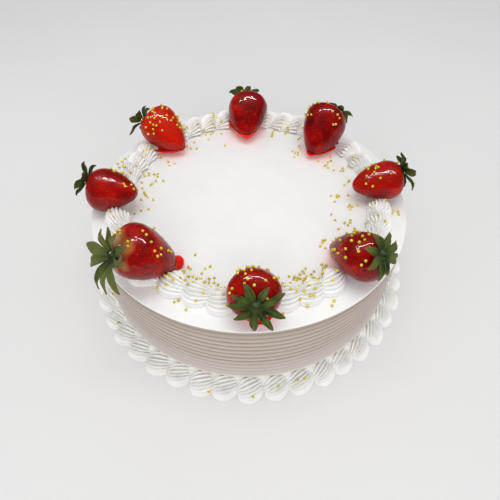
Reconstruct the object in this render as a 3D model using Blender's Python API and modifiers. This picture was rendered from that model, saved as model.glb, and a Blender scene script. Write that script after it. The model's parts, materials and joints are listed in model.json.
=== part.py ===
# Vanilla sponge cake: a frosted round cake with combed sides, shell borders and eight glazed strawberries.
# Metres, +Z up. The origin is the centre of the cake's flat underside.

import math
import random

import bmesh
import bpy
from mathutils import Euler, Matrix, Vector
from mathutils.bvhtree import BVHTree

# The frosted body
CAKE_RADIUS = 0.1114
CAKE_HEIGHT = 0.0705
TOP_EDGE_ROUND = 0.0026
RIDGE_COUNT = 14
RIDGE_DEPTH = 0.0010
CAKE_STEPS = 36

# What touches keeps this gap
GAP = 0.0003

# The piped shells: a head that rises steeply and a tail that runs under the next head
TOP_RING_RADIUS = 0.0922
TOP_SHELL_WIDTH = 0.0215
TOP_SHELL_HEIGHT = 0.0128
TOP_SHELL_PITCH = 0.0142
TOP_SHELL_LOBES = 6
TOP_SHELL_DRIFT = 0.24
FOOT_RING_RADIUS = 0.1165
FOOT_SHELL_WIDTH = 0.0200
FOOT_SHELL_HEIGHT = 0.0122
FOOT_SHELL_COUNT = 43
FOOT_SHELL_LOBES = 4
FOOT_SHELL_DRIFT = 0.05
FLUTE_DEPTH = 0.15
SHELL_TWIST = 0.75
SHELL_SKEW = 0.30
SHELL_ARCH = 0.85
# Sections of one shell: place along it as a share of the pitch, share of the width, share of the height
SHELL_SECTIONS = ((-0.50, 0.60, 0.48), (-0.39, 0.93, 0.87), (-0.10, 1.00, 1.00), (0.26, 0.84, 0.82))
# How a run starts and ends
FIRST_HEAD = (0.45, 0.40)
LAST_TAIL = (0.62, 0.30, 0.25)

# Each strawberry: where its tip lies, which way its stem end points, how far it tilts up, and its size
STRAWBERRIES = {
    "front": dict(radius=0.0800, angle=-83.5, heading=-98.0, tilt=34.0, length=0.0365, width=0.0310),
    "front_right": dict(radius=0.0750, angle=-43.5, heading=-48.0, tilt=34.0, length=0.0380, width=0.0315),
    "right": dict(radius=0.0725, angle=-2.0, heading=15.0, tilt=13.0, length=0.0350, width=0.0290),
    "back_right": dict(radius=0.0645, angle=42.5, heading=55.0, tilt=24.0, length=0.0395, width=0.0345),
    "back": dict(radius=0.0630, angle=92.0, heading=94.0, tilt=17.0, length=0.0375, width=0.0320),
    "back_left": dict(radius=0.0705, angle=137.0, heading=152.0, tilt=20.0, length=0.0375, width=0.0325),
    "left": dict(radius=0.0770, angle=191.0, heading=166.0, tilt=9.0, length=0.0340, width=0.0300),
    "front_left": dict(radius=0.0785, angle=234.5, heading=209.0, tilt=37.0, length=0.0400, width=0.0350),
}
BERRY_STEPS = 10
BERRY_UNEVEN = 0.025
# How far along the berry, from stem to tip, and how wide there
BERRY_OUTLINE = ((1.0, 0.0), (0.975, 0.50), (0.88, 0.86), (0.72, 1.0),
                 (0.52, 0.93), (0.30, 0.70), (0.11, 0.40), (0.0, 0.0))
# Where its belly is along it, and how much of its width the border leaves free there
BELLY_SHARE = 0.62
FLANK_SHARE = 0.72
# The border is cut by the berry enlarged by this
SEAT_MARGIN = 0.0005

# Each calyx: leaf count, leaf length, and how far the leaves stand away from the shoulder
CALYXES = {
    "front": dict(leaves=9, length=0.0130, lift=0.14),
    "front_right": dict(leaves=8, length=0.0125, lift=0.30),
    "right": dict(leaves=7, length=0.0125, lift=0.45),
    "back_right": dict(leaves=7, length=0.0120, lift=0.35),
    "back": dict(leaves=7, length=0.0115, lift=0.60),
    "back_left": dict(leaves=7, length=0.0120, lift=0.50),
    "left": dict(leaves=7, length=0.0125, lift=0.40),
    "front_left": dict(leaves=10, length=0.0185, lift=0.62),
}
CALYX_HUB = 0.0026
CALYX_HUB_RISE = 0.0009
CALYX_STAND_OFF = 0.0007
LEAF_WIDTH = 0.0050
LEAF_CURL = 22.0
LEAF_WAVE = 0.0009
LEAF_WAVE_TURNS = 7.0
LEAF_FOLD = 0.12
LEAF_THICKNESS = 0.0007
# Rows of a leaf: how far along it, and its share of the width
LEAF_ROWS = ((0.34, 1.0), (0.70, 0.66), (1.0, 0.0))
# A leaf takes at most this share of the room round the hub, so that neighbours stay apart
LEAF_ROOM = 0.80
# A leaf that would reach into the cream below this height is shorter and stands up more
LEAF_CLEARANCE = 0.0035
RIM_CLEARANCE = 0.0040
SHORT_LEAF = 0.55
SHORT_LEAF_LIFT = 0.5

# Round sugar pearls, pressed into what they lie on
PEARL_RADIUS = 0.0011
PEARL_SINK = 0.45
PEARL_CLEARANCE = 0.0021
PEARL_SPACING = 0.0055
PEARL_SLOPE = 0.35
PEARL_TRIES = 4000
PEARLS_INSIDE = 0.062
PEARLS_ON_TOP = 12
PEARLS_PER_RUN = 2
PEARLS_PER_BERRY = 2
PEARLS_ON_FOOT = 4

PART_NAME = "vanilla_sponge_cake"
SHARP_ANGLE = 24.0
MERGE_DISTANCE = 0.000015


def clear_scene():
    for item in list(bpy.data.objects):
        bpy.data.objects.remove(item, do_unlink=True)


def new_collection(name):
    group = bpy.data.collections.new(name)
    bpy.context.scene.collection.children.link(group)
    return group


def material(name, colour, roughness):
    mat = bpy.data.materials.new(name)
    mat.use_nodes = True
    shader = mat.node_tree.nodes["Principled BSDF"]
    shader.inputs["Base Color"].default_value = (*colour, 1.0)
    shader.inputs["Roughness"].default_value = roughness
    shader.inputs["Metallic"].default_value = 0.0
    return mat


def mesh_object(name, mesh, mat, group):
    thing = bpy.data.objects.new(name, mesh)
    group.objects.link(thing)
    mesh.materials.clear()
    mesh.materials.append(mat)
    return thing


def settle_modifiers(thing):
    # Turns the modifier stack into the object's own mesh
    bpy.context.view_layer.update()
    graph = bpy.context.evaluated_depsgraph_get()
    mesh = bpy.data.meshes.new_from_object(thing.evaluated_get(graph))
    thing.modifiers.clear()
    thing.data = mesh


def turned_object(name, outline, steps, mat, group):
    # outline runs from the top of the axis down the outer side to the bottom of the axis
    mesh = bpy.data.meshes.new(name)
    count = len(outline)
    mesh.from_pydata([(x, 0.0, z) for x, z in outline], [(k, k + 1) for k in range(count - 1)], [])
    thing = mesh_object(name, mesh, mat, group)
    screw = thing.modifiers.new("Turn", "SCREW")
    screw.steps = steps
    screw.render_steps = steps
    screw.use_merge_vertices = True
    screw.merge_threshold = MERGE_DISTANCE
    settle_modifiers(thing)
    return thing


def combine(thing, others, operation):
    # One Boolean on a collection of operands, which are used up
    group = new_collection("operands")
    for other in others:
        for owner in list(other.users_collection):
            owner.objects.unlink(other)
        group.objects.link(other)
    boolean = thing.modifiers.new("Combine", "BOOLEAN")
    boolean.operation = operation
    boolean.solver = "EXACT"
    boolean.operand_type = "COLLECTION"
    boolean.collection = group
    settle_modifiers(thing)
    for other in others:
        bpy.data.objects.remove(other, do_unlink=True)
    bpy.data.collections.remove(group)
    tidy_mesh(thing)


def tidy_mesh(thing):
    # Merges doubles, drops loose scraps and keeps the largest body
    form = bmesh.new()
    form.from_mesh(thing.data)
    bmesh.ops.remove_doubles(form, verts=form.verts, dist=MERGE_DISTANCE)
    bmesh.ops.dissolve_degenerate(form, edges=form.edges, dist=MERGE_DISTANCE)
    bmesh.ops.triangulate(form, faces=form.faces)
    left = set(form.faces)
    islands = []
    while left:
        island = {left.pop()}
        front = list(island)
        while front:
            face = front.pop()
            near = {other for edge in face.edges for other in edge.link_faces if other in left}
            left -= near
            island |= near
            front.extend(near)
        islands.append(island)
    islands.sort(key=lambda island: sum(face.calc_area() for face in island))
    spare = [face for island in islands[:-1] for face in island]
    bmesh.ops.delete(form, geom=spare, context="FACES")
    form.to_mesh(thing.data)
    form.free()


def shade_round(thing, degrees):
    thing.data.shade_smooth()
    thing.data.set_sharp_from_angle(angle=math.radians(degrees))


def cake_outline():
    edge = CAKE_RADIUS - TOP_EDGE_ROUND
    outline = [(0.0, CAKE_HEIGHT)]
    for degrees in (90, 45, 0):
        turn = math.radians(degrees)
        outline.append((edge + TOP_EDGE_ROUND * math.cos(turn),
                        CAKE_HEIGHT - TOP_EDGE_ROUND * (1.0 - math.sin(turn))))
    pitch = (CAKE_HEIGHT - TOP_EDGE_ROUND) / (RIDGE_COUNT + 0.25)
    for ridge in range(RIDGE_COUNT):
        groove = CAKE_HEIGHT - TOP_EDGE_ROUND - (ridge + 0.3) * pitch
        outline.append((CAKE_RADIUS - RIDGE_DEPTH, groove))
        outline.append((CAKE_RADIUS, groove - 0.5 * pitch))
    outline += [(CAKE_RADIUS, 0.0), (0.0, 0.0)]
    return outline


def shell_stations(spots, pitch, closed):
    # The sections along a border: each shell rises steeply at its head and thins to its tail
    stations = []
    for number, spot in enumerate(spots):
        for along, wide, tall in SHELL_SECTIONS:
            if number == 0 and not closed and along == SHELL_SECTIONS[0][0]:
                wide, tall = FIRST_HEAD[0] * wide, FIRST_HEAD[1] * tall
            stations.append(dict(spot=spot, along=along * pitch, wide=wide, tall=tall))
    if not closed:
        along, wide, tall = LAST_TAIL
        stations.append(dict(spot=spots[-1], along=along * pitch, wide=wide, tall=tall))
    return stations


def shell_section(station, size, lobes):
    # A fluted arch with its feet on the surface below; its plane leans, so that the creases run askew
    width, height, pitch = size
    spot = station["spot"]
    half = 0.5 * width * station["wide"] * spot["grow"]
    tall = height * station["tall"] * spot["grow"]
    share = station["along"] / pitch
    section = []
    for point in range(2 * lobes + 1):
        arch = math.pi * point / (2 * lobes)
        arch += SHELL_TWIST * spot["twist"] * share * math.sin(arch)
        flute = 1.0 if point % 2 else 1.0 - FLUTE_DEPTH
        out = half * math.cos(arch) * flute
        along = station["along"] - SHELL_SKEW * out
        radius = max(spot["radius"] + out - spot["drift"] * station["along"], spot["wall"])
        turn = math.radians(spot["angle"]) + along / spot["radius"]
        up = tall * max(0.0, math.sin(arch)) ** SHELL_ARCH * flute
        section.append((radius * math.cos(turn), radius * math.sin(turn), spot["z"] + up))
    return section


def piped_border(name, spots, size, lobes, closed, mat, group):
    # A loft through the sections, from the first head to the last tail, or all the way round
    form = bmesh.new()
    stations = shell_stations(spots, size[2], closed)
    sections = [shell_section(station, size, lobes) for station in stations]
    loops = [[form.verts.new(place) for place in section] for section in sections]
    following = loops[1:] + (loops[:1] if closed else [])
    for first, second in zip(loops, following):
        for k in range(len(first)):
            after = (k + 1) % len(first)
            form.faces.new((first[k], first[after], second[after], second[k]))
    if not closed:
        form.faces.new(loops[0])
        form.faces.new(loops[-1])
    bmesh.ops.recalc_face_normals(form, faces=form.faces)
    bmesh.ops.triangulate(form, faces=form.faces)
    mesh = bpy.data.meshes.new(name)
    form.to_mesh(mesh)
    form.free()
    return mesh_object(name, mesh, mat, group)


def berry_axis(place):
    heading = math.radians(place["heading"])
    tilt = math.radians(place["tilt"])
    return Vector((math.cos(tilt) * math.cos(heading), math.cos(tilt) * math.sin(heading), math.sin(tilt)))


def strawberry(name, place, margin, mat, group):
    # A turned, slightly uneven berry, laid on the cake's top with its tip to the middle
    length = place["length"] + 2.0 * margin
    half = 0.5 * place["width"] + margin
    outline = [(half * wide, length * far - margin) for far, wide in BERRY_OUTLINE]
    berry = turned_object(name, outline, BERRY_STEPS, mat, group)
    chance = random.Random(round(place["angle"] * 10))
    phase = chance.uniform(0.0, math.tau)
    for vert in berry.data.vertices:
        turn = math.atan2(vert.co.y, vert.co.x)
        swell = 1.0 + BERRY_UNEVEN * (math.sin(2.0 * turn + phase) + 0.6 * math.sin(3.0 * turn - phase))
        vert.co.x *= swell
        vert.co.y *= swell
    lean = Euler((0.0, math.radians(90.0 - place["tilt"]), math.radians(place["heading"])))
    berry.rotation_euler = lean
    return berry


def berry_rest_height(berry):
    # How high the tip stands when the belly rests on the cake's top
    low = min((berry.rotation_euler.to_matrix() @ vert.co).z for vert in berry.data.vertices)
    return CAKE_HEIGHT + GAP - low


def lay_strawberry(berry, place, rest):
    angle = math.radians(place["angle"])
    berry.location = (place["radius"] * math.cos(angle), place["radius"] * math.sin(angle), rest)
    bpy.context.view_layer.update()


def leaf_point(far, side, leaf):
    # A point of a leaf in the calyx's own frame: far along it, side across it
    reach = CALYX_HUB + far * leaf["length"]
    spread = side * 0.5 * LEAF_WIDTH * leaf["broad"]
    climb = CALYX_STAND_OFF + leaf["lift"] * reach - LEAF_CURL * reach ** 2
    wave = LEAF_WAVE * math.sin(far * LEAF_WAVE_TURNS + leaf["phase"]) * far
    fold = LEAF_FOLD * abs(spread)
    sway = leaf["sway"] * far * far * leaf["length"]
    turn = leaf["turn"]
    x = reach * math.cos(turn) - (spread + sway) * math.sin(turn)
    y = reach * math.sin(turn) + (spread + sway) * math.cos(turn)
    return Vector((x, y, climb + wave + fold))


def draw_leaves(style, chance, seat):
    # The leaves of one calyx, by a seeded draw; seat takes a point of the calyx to its place on the cake
    count = style["leaves"]
    leaves = []
    for number in range(count):
        turn = math.tau * (number + chance.uniform(-0.10, 0.10)) / count
        leaf = dict(turn=turn, length=style["length"] * chance.uniform(0.82, 1.12),
                    lift=style["lift"] + chance.uniform(-0.12, 0.16), broad=chance.uniform(0.9, 1.1),
                    phase=chance.uniform(0.0, math.tau), sway=chance.uniform(-0.18, 0.18))
        end = seat @ leaf_point(1.0, 0.0, leaf)
        if end.z < CAKE_HEIGHT + LEAF_CLEARANCE and math.hypot(end.x, end.y) < CAKE_RADIUS + RIM_CLEARANCE:
            leaf["length"] *= SHORT_LEAF
            leaf["lift"] += SHORT_LEAF_LIFT
        leaves.append(leaf)
    return leaves


def extrude_leaf(form, corners, leaf, count):
    # Extrudes the hub's two edges at this leaf through its rows; the last row meets in a point
    room = 0.5 * LEAF_ROOM * math.tau / count
    for far, wide in LEAF_ROWS:
        edges = [form.edges.get((corners[0], corners[1])), form.edges.get((corners[1], corners[2]))]
        made = bmesh.ops.extrude_edge_only(form, edges=edges)["geom"]
        fresh = [item for item in made if isinstance(item, bmesh.types.BMVert)]
        corners = [min(fresh, key=lambda vert: (vert.co - corner.co).length) for corner in corners]
        reach = CALYX_HUB + far * leaf["length"]
        side = min(wide, room * reach / (0.5 * LEAF_WIDTH * leaf["broad"]))
        for corner, share in zip(corners, (-side, 0.0, side)):
            corner.co = leaf_point(far, share, leaf)


def calyx(name, place, style, rest, mat, group):
    # A disc whose rim is extruded into leaves: one open sheet, given its thickness by Solidify
    lean = Euler((0.0, math.radians(90.0 - place["tilt"]), math.radians(place["heading"]))).to_matrix()
    angle = math.radians(place["angle"])
    tip = Vector((place["radius"] * math.cos(angle), place["radius"] * math.sin(angle), rest))
    seat = Matrix.Translation(tip + berry_axis(place) * place["length"]) @ lean.to_4x4()
    leaves = draw_leaves(style, random.Random(round(place["angle"] * 10) + 7), seat)
    count = len(leaves)
    form = bmesh.new()
    bmesh.ops.create_circle(form, cap_ends=True, cap_tris=True, segments=2 * count, radius=CALYX_HUB)
    hub = min(form.verts, key=lambda vert: vert.co.length)
    hub.co.z = CALYX_STAND_OFF + CALYX_HUB_RISE
    rim = [vert for vert in form.verts if vert is not hub]
    rim.sort(key=lambda vert: math.atan2(vert.co.y, vert.co.x) % math.tau)
    height = CALYX_STAND_OFF + style["lift"] * CALYX_HUB
    for number, leaf in enumerate(leaves):
        following = leaves[(number + 1) % count]["turn"] + (math.tau if number == count - 1 else 0.0)
        between = 0.5 * (leaf["turn"] + following)
        for vert, turn in ((rim[2 * number], leaf["turn"]), (rim[2 * number + 1], between)):
            vert.co = Vector((CALYX_HUB * math.cos(turn), CALYX_HUB * math.sin(turn), height))
    for number, leaf in enumerate(leaves):
        corners = [rim[2 * number - 1], rim[2 * number], rim[2 * number + 1]]
        extrude_leaf(form, corners, leaf, count)
    bmesh.ops.remove_doubles(form, verts=form.verts, dist=MERGE_DISTANCE)
    bmesh.ops.recalc_face_normals(form, faces=form.faces)
    if sum(face.normal.z for face in form.faces) < 0.0:
        bmesh.ops.reverse_faces(form, faces=form.faces)
    mesh = bpy.data.meshes.new(name)
    form.to_mesh(mesh)
    form.free()
    thing = mesh_object(name, mesh, mat, group)
    thing.matrix_world = seat
    thick = thing.modifiers.new("Thickness", "SOLIDIFY")
    thick.thickness = LEAF_THICKNESS
    thick.offset = 1.0
    thing.modifiers.new("Facets", "TRIANGULATE")
    settle_modifiers(thing)
    return thing


def world_tree(thing):
    # For measuring how near a point is to an object
    bpy.context.view_layer.update()
    places = [thing.matrix_world @ vert.co for vert in thing.data.vertices]
    faces = [tuple(face.vertices) for face in thing.data.polygons]
    return BVHTree.FromPolygons(places, faces)


def pearls_for(thing, count, neighbours, allowed, chance, mat, group):
    # Places on the upward faces by a seeded draw, clear of neighbours and of each other
    trees = [world_tree(other) for other in neighbours]
    frame = thing.matrix_world
    turn = frame.to_3x3()
    faces = [face for face in thing.data.polygons if (turn @ face.normal).z > PEARL_SLOPE]
    weights = [face.area for face in faces]
    centres = []
    tries = 0
    while len(centres) < count and tries < PEARL_TRIES:
        tries += 1
        face = chance.choices(faces, weights)[0]
        corners = [frame @ thing.data.vertices[k].co for k in face.vertices]
        first = chance.randrange(1, len(corners) - 1)
        a, b = sorted((chance.uniform(0.12, 0.88), chance.uniform(0.12, 0.88)))
        spot = corners[0] * a + corners[first] * (b - a) + corners[first + 1] * (1.0 - b)
        normal = (turn @ face.normal).normalized()
        centre = spot + normal * PEARL_RADIUS * PEARL_SINK
        if not allowed(centre):
            continue
        if any(tree.find_nearest(centre)[3] < PEARL_CLEARANCE for tree in trees):
            continue
        if any((centre - other).length < PEARL_SPACING for other in centres):
            continue
        centres.append(centre)
    pearls = []
    for number, centre in enumerate(centres):
        mesh = bpy.data.meshes.new("pearl")
        form = bmesh.new()
        bmesh.ops.create_icosphere(form, subdivisions=0, radius=PEARL_RADIUS)
        bmesh.ops.rotate(form, verts=form.verts, cent=(0, 0, 0),
                         matrix=Euler((0.4 + number, 0.7 * number, 0.2)).to_matrix())
        form.to_mesh(mesh)
        form.free()
        pearl = mesh_object("pearl", mesh, mat, group)
        pearl.location = centre
        pearls.append(pearl)
    return pearls


def top_run_spots(here, there):
    # The shells between two neighbouring strawberries
    def middle(place):
        angle = math.radians(place["angle"])
        tip = Vector((place["radius"] * math.cos(angle), place["radius"] * math.sin(angle), 0.0))
        belly = tip + berry_axis(place) * (BELLY_SHARE * place["length"])
        return math.atan2(belly.y, belly.x), 0.5 * place["width"] * FLANK_SHARE / TOP_RING_RADIUS

    angle, half = middle(here)
    next_angle, next_half = middle(there)
    while next_angle < angle:
        next_angle += math.tau
    start = angle + half
    end = next_angle - next_half
    count = max(2, round((end - start) * TOP_RING_RADIUS / TOP_SHELL_PITCH))
    chance = random.Random(round(math.degrees(start)))
    spots = []
    for number in range(count):
        spots.append(dict(angle=math.degrees(start + (number + 0.5) * (end - start) / count),
                          radius=TOP_RING_RADIUS + chance.uniform(-0.0006, 0.0006), wall=0.0,
                          z=CAKE_HEIGHT + GAP, drift=TOP_SHELL_DRIFT + chance.uniform(-0.06, 0.06),
                          twist=chance.uniform(0.7, 1.2), grow=chance.uniform(0.94, 1.04)))
    pitch = (end - start) * TOP_RING_RADIUS / count
    return spots, pitch


def foot_spots():
    chance = random.Random(43)
    spots = []
    for number in range(FOOT_SHELL_COUNT):
        spots.append(dict(angle=-88.0 + 360.0 * (number + chance.uniform(-0.05, 0.05)) / FOOT_SHELL_COUNT,
                          radius=FOOT_RING_RADIUS + chance.uniform(-0.0004, 0.0004), wall=CAKE_RADIUS + GAP,
                          z=0.0, drift=FOOT_SHELL_DRIFT, twist=chance.uniform(0.6, 1.2),
                          grow=chance.uniform(0.95, 1.03)))
    return spots


def build():
    clear_scene()
    group = new_collection(PART_NAME)
    cream = material("whipped_cream", (0.93, 0.92, 0.88), 0.45)
    red = material("glazed_strawberry", (0.52, 0.008, 0.012), 0.12)
    green = material("calyx_leaf", (0.045, 0.10, 0.022), 0.55)

    cake = turned_object("cake", cake_outline(), CAKE_STEPS, cream, group)
    names = list(STRAWBERRIES)
    berries = {}
    calyxes = {}
    rests = {}
    for name in names:
        place = STRAWBERRIES[name]
        berry = strawberry("strawberry_" + name, place, 0.0, red, group)
        rests[name] = berry_rest_height(berry)
        lay_strawberry(berry, place, rests[name])
        berries[name] = berry
        calyxes[name] = calyx("calyx_" + name, place, CALYXES[name], rests[name], green, group)

    runs = {}
    for here, there in zip(names, names[1:] + names[:1]):
        spots, pitch = top_run_spots(STRAWBERRIES[here], STRAWBERRIES[there])
        run = piped_border("border_after_" + here, spots, (TOP_SHELL_WIDTH, TOP_SHELL_HEIGHT, pitch),
                           TOP_SHELL_LOBES, False, cream, group)
        cutters = []
        for name in (here, there):
            cutter = strawberry("seat", STRAWBERRIES[name], SEAT_MARGIN, red, group)
            lay_strawberry(cutter, STRAWBERRIES[name], rests[name])
            cutters.append(cutter)
        combine(run, cutters, "DIFFERENCE")
        runs[here] = run
    foot = piped_border("foot_border", foot_spots(),
                        (FOOT_SHELL_WIDTH, FOOT_SHELL_HEIGHT, math.tau * FOOT_RING_RADIUS / FOOT_SHELL_COUNT),
                        FOOT_SHELL_LOBES, True, cream, group)

    chance = random.Random(5)
    fruit = list(berries.values()) + list(calyxes.values())
    for name in names:
        others = [calyxes[name]] + list(runs.values())
        pearls = pearls_for(berries[name], PEARLS_PER_BERRY, others, lambda spot: True, chance, red, group)
        combine(berries[name], pearls, "UNION")
    for run in runs.values():
        pearls = pearls_for(run, PEARLS_PER_RUN, fruit, lambda spot: True, chance, cream, group)
        combine(run, pearls, "UNION")

    def near_border(spot):
        reach = math.hypot(spot.x, spot.y)
        flat_reach = CAKE_RADIUS - TOP_EDGE_ROUND - 2.0 * PEARL_RADIUS
        return PEARLS_INSIDE < reach < flat_reach and spot.z > CAKE_HEIGHT

    pearls = pearls_for(cake, PEARLS_ON_TOP, fruit + list(runs.values()), near_border, chance, cream, group)
    combine(cake, pearls, "UNION")
    pearls = pearls_for(foot, PEARLS_ON_FOOT, [cake] + fruit, lambda spot: True, chance, cream, group)
    combine(foot, pearls, "UNION")
    for thing in [cake] + list(berries.values()):
        shade_round(thing, SHARP_ANGLE)


build()
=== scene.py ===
import json
import math
import random

import bmesh
import bpy
import numpy as np
from mathutils import Euler, Matrix, Vector
from mathutils.bvhtree import BVHTree
from mathutils.kdtree import KDTree

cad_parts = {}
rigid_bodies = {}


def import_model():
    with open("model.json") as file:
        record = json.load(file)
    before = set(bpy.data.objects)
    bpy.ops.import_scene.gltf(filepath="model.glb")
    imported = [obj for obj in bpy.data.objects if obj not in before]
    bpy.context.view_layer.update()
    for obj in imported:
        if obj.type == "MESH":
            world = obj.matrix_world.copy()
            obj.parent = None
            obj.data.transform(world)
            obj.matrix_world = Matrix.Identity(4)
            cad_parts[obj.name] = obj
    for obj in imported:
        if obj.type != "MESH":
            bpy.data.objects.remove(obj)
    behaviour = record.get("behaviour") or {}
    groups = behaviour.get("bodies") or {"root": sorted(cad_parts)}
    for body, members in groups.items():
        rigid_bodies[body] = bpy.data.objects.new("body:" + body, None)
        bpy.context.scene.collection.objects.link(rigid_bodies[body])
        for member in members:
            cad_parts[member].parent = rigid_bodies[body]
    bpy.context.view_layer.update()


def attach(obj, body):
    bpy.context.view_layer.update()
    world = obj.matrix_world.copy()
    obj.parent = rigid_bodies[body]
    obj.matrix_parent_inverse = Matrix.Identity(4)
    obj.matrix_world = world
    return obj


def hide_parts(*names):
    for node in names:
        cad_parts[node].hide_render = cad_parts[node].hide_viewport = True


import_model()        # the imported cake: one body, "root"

# Sizes that the solids already have
cake = dict(radius=0.1114, height=0.0705, edgeRound=0.0026, gap=0.0003)
floorGap = 0.00002       # what stands on the floor is cut this high
berryOrder = ["front", "front_right", "right", "back_right", "back", "back_left", "left", "front_left"]
berryPlaces = {
    "front": dict(radius=0.0800, angle=-83.5, heading=-98.0, tilt=34.0, length=0.0365, width=0.0310),
    "front_right": dict(radius=0.0750, angle=-43.5, heading=-48.0, tilt=34.0, length=0.0380, width=0.0315),
    "right": dict(radius=0.0725, angle=-2.0, heading=15.0, tilt=13.0, length=0.0350, width=0.0290),
    "back_right": dict(radius=0.0645, angle=42.5, heading=55.0, tilt=24.0, length=0.0395, width=0.0345),
    "back": dict(radius=0.0630, angle=92.0, heading=94.0, tilt=17.0, length=0.0375, width=0.0320),
    "back_left": dict(radius=0.0705, angle=137.0, heading=152.0, tilt=20.0, length=0.0375, width=0.0325),
    "left": dict(radius=0.0770, angle=191.0, heading=166.0, tilt=9.0, length=0.0340, width=0.0300),
    "front_left": dict(radius=0.0785, angle=234.5, heading=209.0, tilt=37.0, length=0.0400, width=0.0350),
}


# Hand tools: small steps that every piece below is made with

def clearSelection():
    if bpy.context.object and bpy.context.object.mode != "OBJECT":
        bpy.ops.object.mode_set(mode="OBJECT")
    bpy.ops.object.select_all(action="DESELECT")


def takeUp(piece):
    # Makes a piece the only selected and active one
    clearSelection()
    piece.select_set(True)
    bpy.context.view_layer.objects.active = piece


def openMesh(piece):
    takeUp(piece)
    bpy.ops.object.mode_set(mode="EDIT")
    bpy.ops.mesh.select_mode(type="VERT")


def closeMesh():
    bpy.ops.object.mode_set(mode="OBJECT")


def openWhole(piece):
    openMesh(piece)
    bpy.ops.mesh.select_all(action="SELECT")


def pickVerts(piece, test):
    # Selects the vertices whose place passes the test
    form = bmesh.from_edit_mesh(piece.data)
    for vert in form.verts:
        vert.select = test(vert.co)
    form.select_flush_mode()
    bmesh.update_edit_mesh(piece.data)


def resize(scale, centre=(0, 0, 0)):
    bpy.ops.transform.resize(value=scale, center_override=centre)


def pullRing(step, scale, centre):
    # Extrudes the selected ring by a step and resizes it about its new centre
    bpy.ops.mesh.extrude_region_move(TRANSFORM_OT_translate={"value": step})
    resize(scale, centre)


def pullRings(levels, here, wide):
    # Pulls the selected ring up through pairs of level and radius
    for level, reach in levels:
        share = reach / wide
        pullRing((0, 0, level - here), (share, share, 1.0), (0, 0, level))
        here, wide = level, reach
    return wide


def applyModifiers(piece):
    takeUp(piece)
    for modifier in list(piece.modifiers):
        bpy.ops.object.modifier_apply(modifier=modifier.name)


def settle(piece):
    # The object ends at the origin, unturned and unscaled
    takeUp(piece)
    bpy.ops.object.transform_apply(location=True, rotation=True, scale=True)


def pointOutwards():
    # Ends the work on an open mesh: its faces are turned outwards, and it is closed
    bpy.ops.mesh.select_all(action="SELECT")
    bpy.ops.mesh.normals_make_consistent(inside=False)
    closeMesh()


def cutBelow(piece, level):
    # Cuts the piece level and fills the cut
    openWhole(piece)
    bpy.ops.mesh.bisect(plane_co=(0, 0, level), plane_no=(0, 0, 1), use_fill=True, clear_inner=True)
    closeMesh()


def roundOff(piece, levels):
    rounder = piece.modifiers.new("Rounder", "SUBSURF")
    rounder.levels = levels
    rounder.render_levels = levels


def newObject(name, data):
    piece = bpy.data.objects.new(name, data)
    bpy.context.scene.collection.objects.link(piece)
    return piece


def ownCopy(pattern):
    return newObject(pattern.name, pattern.data.copy())


def clamped(value):
    return min(1.0, max(0.0, value))


def smoothShade(piece, degrees):
    takeUp(piece)
    bpy.ops.object.shade_smooth_by_angle(angle=math.radians(degrees))


def unevenness(piece, name, size, strength, direction="NORMAL", group=""):
    # Moves the surface by a cloud pattern of a given size
    texture = bpy.data.textures.new(name, type="CLOUDS")
    texture.noise_scale = size
    texture.noise_depth = 2
    bump = piece.modifiers.new(name, "DISPLACE")
    bump.texture = texture
    bump.texture_coords = "LOCAL"
    bump.direction = direction
    bump.strength = strength
    bump.mid_level = 0.5
    if group:
        bump.vertex_group = group


def joined(name, pieces):
    takeUp(pieces[0])
    for piece in pieces[1:]:
        piece.select_set(True)
    if len(pieces) > 1:
        bpy.ops.object.join()
    whole = bpy.context.object
    whole.name = name
    whole.data.name = name
    return whole


def dress(piece, material, nodes=()):
    piece.data.materials.clear()
    piece.data.materials.append(material)
    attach(piece, "root")
    if nodes:
        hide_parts(*nodes)


def scatterCopies(name, source, matrices):
    # One mesh of many copies of a small piece, which is then removed
    form = bmesh.new()
    for matrix in matrices:
        copy = source.data.copy()
        copy.transform(matrix)
        form.from_mesh(copy)
        bpy.data.meshes.remove(copy)
    mesh = bpy.data.meshes.new(name)
    form.to_mesh(mesh)
    form.free()
    piece = newObject(name, mesh)
    bpy.data.objects.remove(source, do_unlink=True)
    return piece


# Materials

def newMaterial(name):
    material = bpy.data.materials.new(name)
    material.use_nodes = True
    tree = material.node_tree
    coords = tree.nodes.new("ShaderNodeTexCoord").outputs["Object"]
    return material, tree, tree.nodes["Principled BSDF"], coords


def addRamp(tree, source, stops):
    ramp = tree.nodes.new("ShaderNodeValToRGB")
    while len(ramp.color_ramp.elements) < len(stops):
        ramp.color_ramp.elements.new(0.5)
    for element, (place, colour) in zip(ramp.color_ramp.elements, stops):
        element.position = place
        element.color = (*colour, 1.0)
    tree.links.new(source, ramp.inputs["Fac"])
    return ramp.outputs["Color"]


def noiseValue(tree, coords, scale, detail=4.0, roughness=0.55):
    noise = tree.nodes.new("ShaderNodeTexNoise")
    noise.inputs["Scale"].default_value = scale
    noise.inputs["Detail"].default_value = detail
    noise.inputs["Roughness"].default_value = roughness
    tree.links.new(coords, noise.inputs["Vector"])
    return noise.outputs["Fac"]


def mapValue(tree, source, fromMin, fromMax, toMin=0.0, toMax=1.0):
    node = tree.nodes.new("ShaderNodeMapRange")
    node.inputs["From Min"].default_value = fromMin
    node.inputs["From Max"].default_value = fromMax
    node.inputs["To Min"].default_value = toMin
    node.inputs["To Max"].default_value = toMax
    tree.links.new(source, node.inputs["Value"])
    return node.outputs["Result"]


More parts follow.
